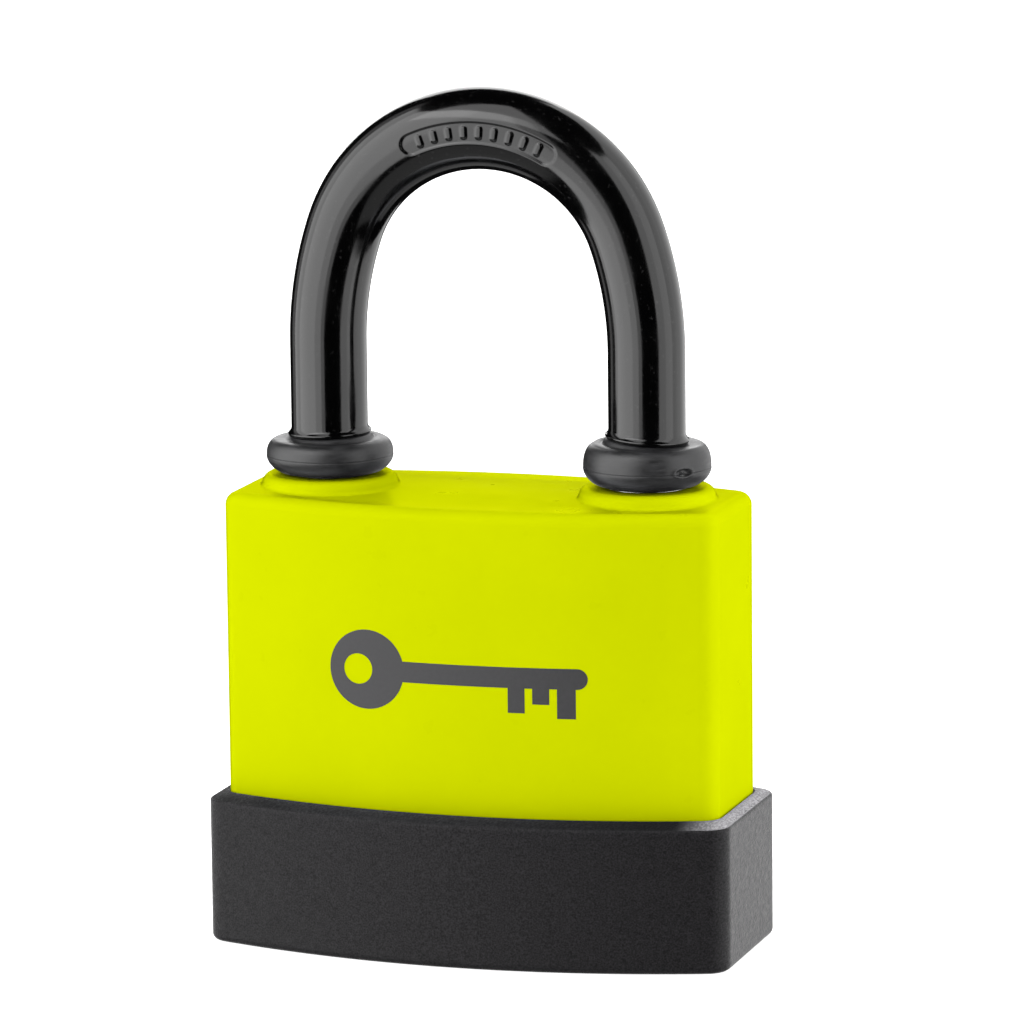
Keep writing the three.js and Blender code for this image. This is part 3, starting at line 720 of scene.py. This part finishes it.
def jacket_radius(distance, end):
    share = min(abs(distance) / ARCH.crown_reach, 1)
    return JACKET_R + CROWN_SWELL * math.cos(share * math.pi / 2) ** 2 + jacket_lip(end - abs(distance))


def slanted(ring):
    """The ring with its outer side dropped a little, the more so the nearer it is to the jacket's end."""
    end = JACKET_ENDS["toe" if ring[:, 0].mean() > 0 else "heel"]
    nearness = np.clip(1 - (ring[:, 2].mean() - end["z"]) / 8, 0, 1) ** 2
    ring[:, 2] -= end["slant"] * (np.abs(ring[:, 0]) - LEG_X) * nearness
    return ring


def build_jacket():
    heel_end, toe_end = (ARCH.distance_of(end["z"]) for end in JACKET_ENDS.values())
    fine_reach = CARTOUCHE["half_length"] + 1
    middle = CARTOUCHE["middle"]
    fine = np.arange(middle - fine_reach, middle + fine_reach, 0.14)
    lip = np.linspace(0, 1.2, 17)
    left = np.linspace(-heel_end + 1.3, fine[0], 110, endpoint=False)
    right = np.linspace(toe_end - 1.3, fine[-1], 110, endpoint=False)[::-1]
    distances = np.concatenate([lip - heel_end, left, fine, right, toe_end - lip[::-1]])
    front = np.radians(np.arange(66, 114, 1.2))
    rest = np.radians(np.linspace(114, 426, 105))[:-1]
    angles = np.concatenate([front, rest])
    rings = []
    for distance in distances:
        radius = jacket_radius(distance, toe_end if distance > 0 else heel_end)
        heights = cartouche_height(distance, angles, radius) if abs(distance - middle) < fine_reach else 0
        rings.append(ARCH.section(distance, radius + heights + np.zeros(len(angles)), angles))
    bore = BAR_R + 0.1
    for distance in np.linspace(toe_end, -heel_end, 90):
        rings.append(ARCH.section(distance, np.full(len(angles), bore), angles))
    rings = [slanted(ring) for ring in rings]
    jacket = skin("shackle_jacket_sleeve", rings, ring_of_rings=True)
    smooth(jacket, 50)
    place(jacket, "shackle", MATERIALS["jacket_plastic"], "jacket_plastic", "shackle_jacket")


TOE_TIP_Z = 42.8
NECK = {"radius": 3.5, "low": 22.0, "top": 44.0}
POCKET_R = 5.25
BALL_TRAVEL = 2.2
SHACKLE_LIFT = 19.0


def build_bar():
    """One bar from the heel leg's foot, up its turned neck and over the arch, to the toe leg's tip."""
    heel_tip, toe_tip = BAR_LOW.z, TOE_TIP_Z
    leg_top, sides = 60.0, 96
    heel = [
        (BAR_R - 0.7, heel_tip), (BAR_R - 0.2, heel_tip + 0.2), (BAR_R, heel_tip + 0.7),
        (BAR_R, NECK["low"] - 0.15), (BAR_R - 0.15, NECK["low"]), (NECK["radius"] + 0.1, NECK["low"] + 0.02),
        (NECK["radius"], NECK["low"] + 0.15), (NECK["radius"], NECK["top"] - 0.1),
        (NECK["radius"] + 0.15, NECK["top"]), (BAR_R - 0.12, NECK["top"] + 0.45), (BAR_R, NECK["top"] + 0.65),
        (BAR_R, leg_top),
    ]
    toe = [(BAR_R - 1.1, toe_tip), (BAR_R - 0.5, toe_tip + 0.25), (BAR_R - 0.1, toe_tip + 0.8)]
    toe += [(BAR_R, toe_tip + 1.3), (BAR_R, leg_top)]
    angles = np.arange(sides) * TURN / sides
    stations = [(-ARCH.distance_of(z), radius) for radius, z in heel]
    straight = ARCH.distance_of(leg_top + 1)
    stations += [(distance, BAR_R) for distance in np.linspace(-straight, straight, 120)]
    stations += [(ARCH.distance_of(z), radius) for radius, z in reversed(toe)]
    rings = [ARCH.section(distance, np.full(sides, radius), angles) for distance, radius in stations]
    bar = skin("shackle_steel_bar", rings)
    ball_x = (BALL_LOW.x + BALL_HIGH.x) / 2
    ball_z = (BALL_LOW.z + BALL_HIGH.z) / 2
    pocket_x = ball_x + BALL_TRAVEL
    turns = np.linspace(0.05, math.pi - 0.05, 48)
    for x, z in ((-pocket_x, ball_z), (-pocket_x, ball_z - SHACKLE_LIFT), (pocket_x, ball_z)):
        ball = [(POCKET_R * math.sin(a), z - POCKET_R * math.cos(a)) for a in turns]
        combine(bar, lathe("pocket", ball, sides, x), "DIFFERENCE")
    smooth(bar, 30)
    place(bar, "shackle", MATERIALS["hardened_steel"], "hardened_steel", "shackle_bar")


COLLARS = {
    "heel": {"x": -LEG_X, "low": COLLAR_LOW.z, "line": 63.45, "top": 65.6},
    "toe": {"x": LEG_X, "low": COLLAR_LOW.z + 0.1, "line": 63.6, "top": 66.65},
}


def collar_profile(low, line, top, seat):
    """A collar's section: a fat ring with a parting line at its waist, and a seat for the jacket."""
    bore, wide = RING_BORE_R + 0.01, COLLAR_R
    spigot = [(bore, low - 0.35), (bore + 0.36, low - 0.35), (bore + 0.4, low)]
    below = [
        (wide - 2.5, 0.0), (wide - 1.6, 0.06), (wide - 0.85, 0.26), (wide - 0.36, 0.5), (wide - 0.08, 0.74),
        (wide, 0.9), (wide, 0.97), (wide - 0.08, 1.0),
    ]
    above = [
        (wide - 0.01, 0.03), (wide - 0.02, 0.15), (wide - 0.06, 0.32), (wide - 0.15, 0.48),
        (wide - 0.32, 0.66), (wide - 0.6, 0.82), (wide - 1.0, 0.94), (wide - 1.5, 1.0), (wide - 2.1, 1.0),
    ]
    profile = spigot + [(radius, low + (line - low) * share) for radius, share in below]
    profile += [(radius, line + (top - line) * share) for radius, share in above]
    return profile + [(bore + 1.2, top - 0.12), (bore + 0.6, seat - 0.02), (bore, seat - 0.02)]


def divided(points, longest):
    """A closed outline's points with more added along its edges, none further apart than longest."""
    finer = []
    for start, end in zip(points, np.roll(points, -1, 0)):
        count = math.ceil(np.linalg.norm(end - start) / longest)
        finer += [start + (end - start) * i / count for i in range(count)]
    return finer


def build_collars():
    for name, size in COLLARS.items():
        end = JACKET_ENDS[name]
        corners = collar_profile(size["low"], size["line"], size["top"], end["z"] - 0.03)
        profile = divided(np.array(softened(corners, 0.25, closed=True, steps=4)), 0.2)
        ring = lathe(f"{name}_collar_ring", profile, 288, size["x"], closed=True)
        slant_seat(ring, size["top"] - 0.1, end["slant"])
        if name == "toe":
            mark_gate(ring)
        smooth(ring, 60)
        place(ring, "shackle", MATERIALS["rubber"], "rubber", f"{name}_collar")


def slant_seat(ring, above, slant):
    """Tips the collar's seat, the part above a height, to lie along the jacket's slanting end."""
    for vertex in ring.data.vertices:
        rise = vertex.co.z / MM - above
        if rise > 0:
            vertex.co.z -= slant * (abs(vertex.co.x) - LEG_X * MM) * min(rise / 0.4, 1)


def mark_gate(ring):
    """A shallow oval moulding-gate recess with a nub in it, on the toe collar just above its parting line."""
    facing = math.radians(-39)
    around = np.array([-math.sin(facing), math.cos(facing), 0])
    outward = np.array([math.cos(facing), math.sin(facing), 0])
    middle = np.array([LEG_X, 0, COLLARS["toe"]["line"] + 0.2]) + outward * COLLAR_R
    for vertex in ring.data.vertices:
        offset = np.array(vertex.co) / MM - middle
        if np.linalg.norm(offset) > 1.8:
            continue
        oval = math.hypot(offset @ around / 1.05, offset[2] / 0.45)
        nub = math.hypot(offset @ around + 0.15, offset[2] + 0.05)
        height = -0.38 * math.exp(-(oval**4)) + 0.1 * math.exp(-(((oval - 1.35) / 0.25) ** 2))
        height += 0.4 * math.exp(-((nub / 0.26) ** 2))
        vertex.co += Vector(outward * height * MM)


def build_bore_seals():
    for name, side in (("heel", -1), ("toe", 1)):
        outer = SEAL_HIGH.x - LEG_X
        corners = [(RING_BORE_R, SEAL_LOW.z), (outer, SEAL_LOW.z), (outer, SEAL_TOP), (RING_BORE_R, SEAL_TOP)]
        seal = lathe(f"{name}_bore_bush", softened(corners, 0.3, closed=True), 96, side * LEG_X, closed=True)
        smooth(seal, 60)
        place(seal, "case", MATERIALS["rubber"], "rubber", f"{name}_bore_seal")


# ---------------------------------------------------------------- keyway cover, rivet, screws


def build_keyway_cover():
    edge = 0.22
    low, high = SHUTTER_PLATE_LOW, SHUTTER_HIGH.z
    levels = [(-edge, low), (-edge * 0.3, low + 0.06), (0, low + edge)]
    levels += [(0, high - edge), (-edge * 0.3, high - 0.06), (-edge, high)]
    rings = []
    for grow, z in levels:
        outline = capsule(RIVET_X, 0, RIVET_X, SHUTTER_HALF + grow, math.pi, 48)
        rings.append(np.column_stack([outline, np.full(len(outline), z)]))
    plate = skin("keyway_shutter", rings)
    combine(plate, lathe("hole", [(1.4, 0), (1.4, 4)], 48, RIVET_X), "DIFFERENCE")
    for x in (-2.9, -2.1, -1.3):
        ridge = skin("ridge", thumb_ridge(x))
        combine(plate, ridge, "UNION")
    smooth(plate, 30)
    place(plate, "keyway_cover", MATERIALS["steel"], "steel", "keyway_cover")


def thumb_ridge(x):
    """Rings of a low rounded bar across the plate, to push it with."""
    rings = []
    for y in np.linspace(-2.8, 2.8, 25):
        size = math.sqrt(max(1 - (y / 2.85) ** 4, 0.02))
        section = [(x + 0.3 * size * math.cos(a), y, SHUTTER_PLATE_LOW + 0.1 - 0.5 * size * math.sin(a))
                   for a in np.linspace(0, math.pi, 13)]
        rings.append(section)
    return rings


def build_rivet():
    low, high = box_mm("keyway_rivet")
    head = [(0.4, 0.0), (1.2, 0.03), (1.9, 0.18), (2.25, 0.4), (2.3, 0.5)]
    profile = [(radius, low.z + rise) for radius, rise in head]
    profile += [(2.2, 0.75), (1.25, 0.78), (1.25, 3.5), (2.15, 3.5), (2.2, 3.6), (2.2, 4.0), (2.1, high.z)]
    rivet = lathe("keyway_rivet_turned", profile, 64, RIVET_X)
    smooth(rivet, 40)
    place(rivet, "case", MATERIALS["steel"], "steel", "keyway_rivet")


def build_base_screws():
    low, high = box_mm("base_screw_right")
    for name, side in (("left", -1), ("right", 1)):
        head = [(2.3, low.z), (2.55, low.z + 0.08), (2.6, low.z + 0.22), (2.6, low.z + 0.45)]
        shank = thread_rings(1.4, low.z + 1.7, high.z)
        screw = lathe(f"base_screw_{name}_turned", head + shank, 64, side * SCREW_X)
        for turn in (0, math.pi / 2):
            combine(screw, cross_slot(side * SCREW_X, turn, low.z), "DIFFERENCE")
        smooth(screw, 30)
        place(screw, "case", MATERIALS["steel"], "steel", f"base_screw_{name}")


def thread_rings(radius, low, high, pitch=0.6):
    """A shank's profile with shallow ring grooves for its thread."""
    profile = [(radius, low)]
    z = low + pitch
    while z < high - pitch:
        profile += [(radius - 0.22, z), (radius - 0.02, z + pitch / 2)]
        z += pitch
    return profile + [(radius - 0.05, high - 0.3), (radius - 0.35, high)]


def cross_slot(x, turn, low):
    """One bar of a cross recess, narrower towards its floor."""
    rings = []
    for z, narrow in ((low - 1, 0.36), (low, 0.34), (low + 0.75, 0.2)):
        corners = [(-1.6, -narrow), (1.6, -narrow), (1.6, narrow), (-1.6, narrow)]
        turned = [(x + u * math.cos(turn) - v * math.sin(turn), u * math.sin(turn) + v * math.cos(turn), z)
                  for u, v in corners]
        rings.append(turned)
    return skin("slot", rings)


# ---------------------------------------------------------------- printed mark


def arc(x, z, radius, start, end, steps):
    return [(x + radius * math.cos(a), z + radius * math.sin(a)) for a in np.linspace(start, end, steps)]


def key_outline():
    """A plain key seen from the side: a round bow at the left, a shaft, and three teeth at the right."""
    bow_r, half_shaft = 5.2, 1.35
    opening = math.asin(half_shaft / bow_r)
    z = MARK_Z
    outline = arc(MARK_BOW_X, z, bow_r, opening, TURN - opening, 72)
    teeth = [(7.2, 9.4, 4.6), (10.4, 12.6, 3.4), (13.6, 16.0, 5.2)]
    for left, right, drop in teeth:
        outline += [(left, z - half_shaft), (left, z - drop), (right, z - drop), (right, z - half_shaft)]
    tip = arc(16.2, z, half_shaft, -math.pi / 2, math.pi / 2, 16)
    return outline + tip


def upright_prism(name, outline, front, back):
    """A block over an outline in the XZ plane, between two depths."""
    return skin(name, [[(x, y, z) for x, z in outline] for y in (front, back)])


def build_mark():
    """The printed key: an even film on the bulged front."""
    film, sunk = 0.03, 0.02
    xs = np.linspace(-20, 20, 161)
    rings = []
    for z in (MARK_Z - 8, MARK_Z + 8):
        outer = [(x, -COVER.face_y(x) - film, z) for x in xs]
        inner = [(x, -COVER.face_y(x) + sunk, z) for x in xs[::-1]]
        rings.append(outer + inner)
    mark = upright_prism("front_key_mark", key_outline(), -30, 0)
    hole = arc(MARK_BOW_X - 1.2, MARK_Z, 2.0, 0, TURN, 49)[:-1]
    combine(mark, upright_prism("bow_hole", hole, -40, 5), "DIFFERENCE")
    combine(mark, skin("film", rings), "INTERSECT")
    smooth(mark, 40)
    place(mark, "case", MATERIALS["print_ink"], "cover_plastic")


# ---------------------------------------------------------------- CAD nodes that stay

KEPT_NODES = {
    "steel": [
        "lock_body", "bottom_plate", "retaining_screw", "heel_retaining_pin", "shackle_spring", "plug_clip",
        "driver_cam", *[f"disc_spring_{i}" for i in range(1, 7)],
    ],
    "brass": ["cylinder_shell", "driver_bush", "plug", *[f"disc_{i}" for i in range(1, 7)]],
    "hardened_steel": ["latch_ball_heel", "latch_ball_toe"],
    "rubber": ["plug_seal"],
}


def smooth_by_angle():
    """A node group that shades smooth except at edges sharper than 30 degrees."""
    group = bpy.data.node_groups.new("smooth_by_angle", "GeometryNodeTree")
    group.interface.new_socket("Geometry", in_out="INPUT", socket_type="NodeSocketGeometry")
    group.interface.new_socket("Geometry", in_out="OUTPUT", socket_type="NodeSocketGeometry")
    entry = group.nodes.new("NodeGroupInput")
    leave = group.nodes.new("NodeGroupOutput")
    angle = group.nodes.new("GeometryNodeInputMeshEdgeAngle")
    gentle = group.nodes.new("FunctionNodeCompare")
    gentle.operation = "LESS_THAN"
    gentle.inputs["B"].default_value = math.radians(30)
    faces = group.nodes.new("GeometryNodeSetShadeSmooth")
    edges = group.nodes.new("GeometryNodeSetShadeSmooth")
    edges.domain = "EDGE"
    group.links.new(angle.outputs["Unsigned Angle"], gentle.inputs["A"])
    group.links.new(entry.outputs["Geometry"], faces.inputs["Geometry"])
    group.links.new(faces.outputs["Geometry"], edges.inputs["Geometry"])
    group.links.new(gentle.outputs["Result"], edges.inputs["Shade Smooth"])
    group.links.new(edges.outputs["Geometry"], leave.inputs["Geometry"])
    return group


def finish_kept_nodes():
    group = smooth_by_angle()
    for slot, names in KEPT_NODES.items():
        for name in names:
            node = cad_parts[name]
            node.data.materials.clear()
            node.data.materials.append(MATERIALS[slot])
            weld = node.modifiers.new("weld", "WELD")
            weld.merge_threshold = 0.002 * MM
            ease = node.modifiers.new("ease", "BEVEL")
            ease.width = 0.06 * MM if "spring" in name else 0.12 * MM
            ease.segments = 2
            ease.limit_method = "ANGLE"
            ease.angle_limit = math.radians(40)
            shade = node.modifiers.new("shade", "NODES")
            shade.node_group = group


# ---------------------------------------------------------------- stage, light and camera


def build_stage():
    """A wide pale floor that glows for the camera, is clear from below, and leaves reflections alone."""
    size, level = 9000, -0.05
    corners = [(x * size, y * size, level) for x, y in ((-1, -1), (1, -1), (1, 1), (-1, 1))]
    floor = add_mesh("floor", corners, [[0, 1, 2, 3]])
    material, shader = new_material("floor", Specular_IOR_Level=0.0, Emission_Color=(1, 1, 1, 1))
    tree = material.node_tree
    tone = tint(shader, grain(shader, 3, 2), (0.93, 0.93, 0.93), (0.95, 0.95, 0.95))
    wear_in(shader, tone, spread(shader, grain(shader, 40, 2), 0.75, 0.85))
    path = tree.nodes.new("ShaderNodeLightPath")
    glow = spread(shader, path.outputs["Is Camera Ray"], 0, 0.9, source=(0, 1))
    tree.links.new(glow, shader.inputs["Emission Strength"])
    clear = tree.nodes.new("ShaderNodeBsdfTransparent")
    facing = tree.nodes.new("ShaderNodeNewGeometry")
    mix = tree.nodes.new("ShaderNodeMixShader")
    tree.links.new(facing.outputs["Backfacing"], mix.inputs["Fac"])
    tree.links.new(shader.outputs["BSDF"], mix.inputs[1])
    tree.links.new(clear.outputs["BSDF"], mix.inputs[2])
    tree.links.new(mix.outputs["Shader"], tree.nodes["Material Output"].inputs["Surface"])
    floor.data.materials.append(material)
    floor.visible_glossy = False
    floor.visible_shadow = False


def build_world():
    """A white sky for the camera, which lights nothing else to speak of."""
    world = bpy.data.worlds.new("studio")
    bpy.context.scene.world = world
    world.use_nodes = True
    tree = world.node_tree
    sky = tree.nodes["Background"]
    path = tree.nodes.new("ShaderNodeLightPath")
    level = tree.nodes.new("ShaderNodeMapRange")
    level.inputs["To Min"].default_value = 0.01
    level.inputs["To Max"].default_value = 1.0
    tree.links.new(path.outputs["Is Camera Ray"], level.inputs["Value"])
    tree.links.new(level.outputs["Result"], sky.inputs["Strength"])
    sky.inputs["Color"].default_value = (1, 1, 1, 1)


FOCUS = Vector((0, 0, 0.058))


# How bright the cover's and the floor's copy of each lamp is, next to the black pieces' copy.
COVER_SHARE = 0.47
LIGHT_COPIES = [("parts", "EXCLUDE", 1.0), ("cover", "INCLUDE", COVER_SHARE)]


def light_group(name, state):
    """A collection that lets a lamp reach only the cover and floor (INCLUDE), or all but those (EXCLUDE)."""
    group = bpy.data.collections.get(name)
    if group:
        return group
    group = bpy.data.collections.new(name)
    for piece in ("body_cover_shell", "floor"):
        group.objects.link(bpy.data.objects[piece])
    for member in group.collection_objects:
        member.light_linking.link_state = state
    return group


def light_panel(name, place_at, rotation, size, radiance, glossy=True):
    """A flat lamp in two copies: one for the black parts, and a dimmer one for the cover and the floor."""
    for copy, state, share in LIGHT_COPIES:
        lamp = bpy.data.lights.new(f"{name}_{copy}", "AREA")
        lamp.shape = "RECTANGLE"
        lamp.size, lamp.size_y = size
        lamp.energy = radiance * share * math.pi * size[0] * size[1]
        panel = bpy.data.objects.new(lamp.name, lamp)
        panel.location = place_at
        panel.rotation_mode = "QUATERNION"
        panel.rotation_quaternion = rotation
        panel.light_linking.receiver_collection = light_group(f"light_{copy}", state)
        panel.visible_camera = False
        panel.visible_glossy = glossy
        bpy.context.scene.collection.objects.link(panel)


def softbox(name, azimuth, width, low, high, distance, radiance):
    """An upright light panel in the studio, seen from the lock at the azimuth. Heights are in metres."""
    angle = math.radians(azimuth)
    place_at = (distance * math.sin(angle), -distance * math.cos(angle), (low + high) / 2)
    level = Vector((-math.sin(angle), math.cos(angle), 0))
    light_panel(name, place_at, level.to_track_quat("-Z", "Y"), (width, high - low), radiance)


def lamp_panel(name, place_at, size, radiance, target=None, turn=0.0, glossy=True):
    """A flat light panel that faces the target, or faces down when it has none, turned in degrees."""
    if target:
        rotation = (target - place_at).to_track_quat("-Z", "Y")
    else:
        rotation = Quaternion((0, 0, 1), math.radians(turn))
    light_panel(name, place_at, rotation, size, radiance, glossy)


LEFT_PANELS = [(-108, 16, 0.5), (-89, 22, 2.6), (-64, 28, 3.9), (-37, 26, 3.8), (-15, 18, 2.9), (-1, 11, 1.5)]
RIGHT_PANELS = [(65, 22, 2.1), (88, 24, 2.6), (113, 26, 1.7), (141, 30, 1.5), (167, 22, 1.4)]
PANEL_DISTANCE = 0.9
PANEL_LOW = -0.42
PANEL_HIGH = 1.2


def build_lights():
    """Upright panels round the lock, brightest in the middle of each side, and lamps above and around it."""
    for side, panels in (("left", LEFT_PANELS), ("right", RIGHT_PANELS)):
        for i, (azimuth, span, radiance) in enumerate(panels):
            width = 2 * PANEL_DISTANCE * math.tan(math.radians(span / 2))
            softbox(f"{side}_{i}", azimuth, width, PANEL_LOW, PANEL_HIGH, PANEL_DISTANCE, radiance)
    lamp_panel("canopy", Vector((-0.4, -1.11, 1.35)), (1.3, 1.4), 2.2, turn=22)
    lamp_panel("overhead", Vector((0.1, 0.1, 1.5)), (1.3, 1.3), 4.4, glossy=False)
    lamp_panel("behind", Vector((-0.28, 0.86, 0.42)), (0.6, 0.6), 3.0, FOCUS)
    lamp_panel("right_fill", Vector((1.1, 0.35, 0.2)), (0.9, 0.9), 7.0, FOCUS, glossy=False)
    lamp_panel("below", Vector((0.0, -0.1, -0.8)), (1.6, 1.6), 0.5, FOCUS)


VIEW = {"azimuth": 17.70, "elevation": 10.36, "roll": -0.61, "distance": 0.8735, "lens": 236.7}
VIEW_TARGET = Vector((3.26, 0, 56.71)) * MM


def build_camera():
    azimuth = math.radians(VIEW["azimuth"])
    elevation = math.radians(VIEW["elevation"])
    level = math.cos(elevation)
    back = Vector((math.sin(azimuth) * level, -math.cos(azimuth) * level, math.sin(elevation)))
    lens = bpy.data.cameras.new("camera")
    lens.lens = VIEW["lens"]
    lens.sensor_width = 36
    camera = bpy.data.objects.new("camera", lens)
    camera.rotation_mode = "QUATERNION"
    roll = Quaternion((0, 0, 1), math.radians(VIEW["roll"]))
    camera.rotation_quaternion = (-back).to_track_quat("-Z", "Y") @ roll
    camera.location = VIEW_TARGET + back * VIEW["distance"]
    bpy.context.scene.collection.objects.link(camera)
    bpy.context.scene.camera = camera
    bpy.context.scene.view_settings.view_transform = "Standard"


build_body_cover()
build_base_cap()
build_jacket()
build_bar()
build_collars()
build_bore_seals()
build_keyway_cover()
build_rivet()
build_base_screws()
build_mark()
finish_kept_nodes()
build_stage()
build_world()
build_lights()
build_camera()
